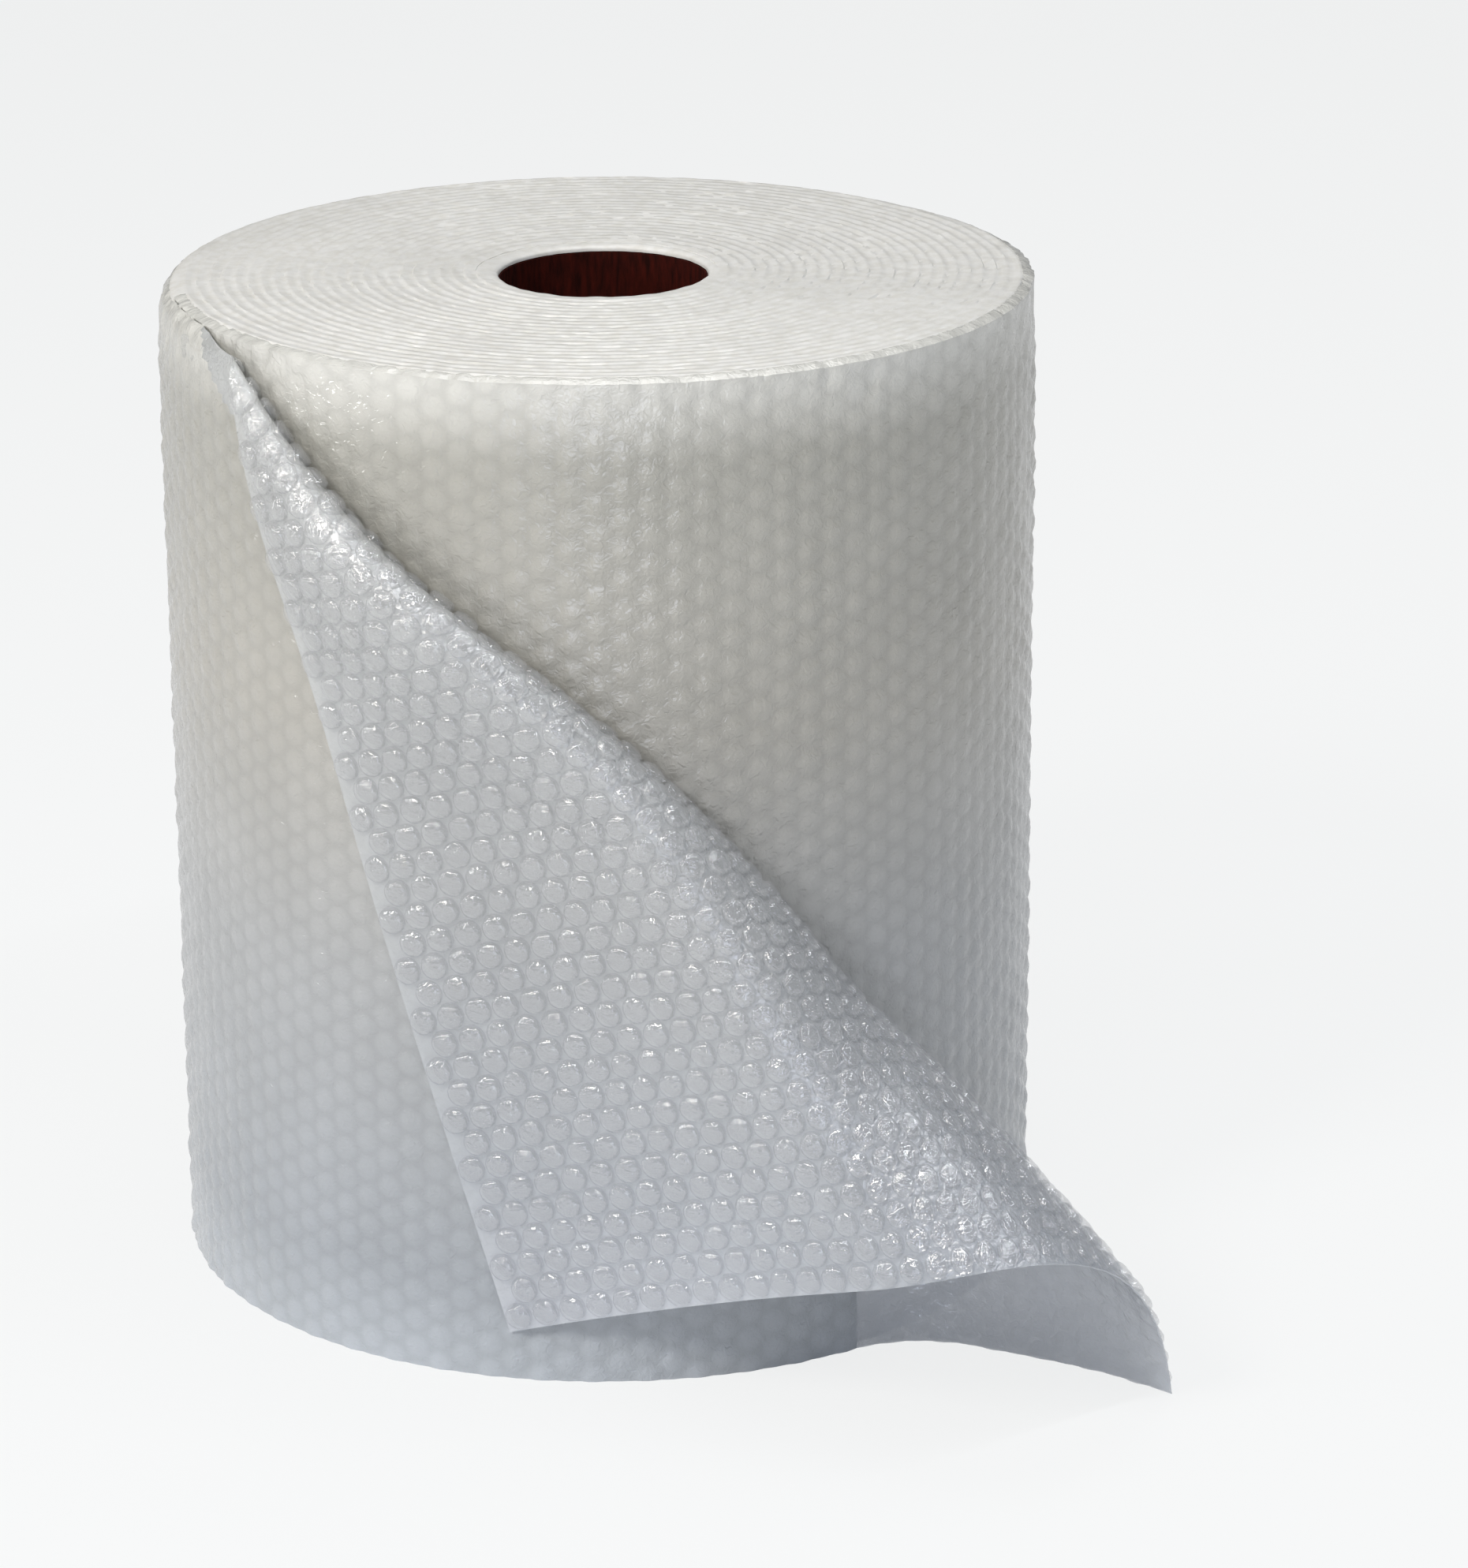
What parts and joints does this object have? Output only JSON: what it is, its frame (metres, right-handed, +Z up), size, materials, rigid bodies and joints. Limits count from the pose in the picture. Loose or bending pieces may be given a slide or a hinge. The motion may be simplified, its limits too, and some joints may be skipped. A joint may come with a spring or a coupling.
{
  "type": "bubble wrap roll",
  "caption": "Upright roll of clear bubble film wound on a cardboard tube, with its loose end folded back over the front.",
  "frame": {"origin": "centre of the tube's bore at the floor end of the roll", "axes": "+Z up along the roll's axis, -Y towards the front where the loose end is folded over, +X towards the side where the tail leaves the roll"},
  "size_m": [0.367, 0.4036, 0.371],
  "materials": {
    "film": "clear polyethylene bubble film, glossy, milky where many layers lie together",
    "core": "spiral-wound brown cardboard tube"
  },
  "bodies": {
    "root": {"bubble_film": "film", "core_tube": "core"}
  },
  "joints": []
}
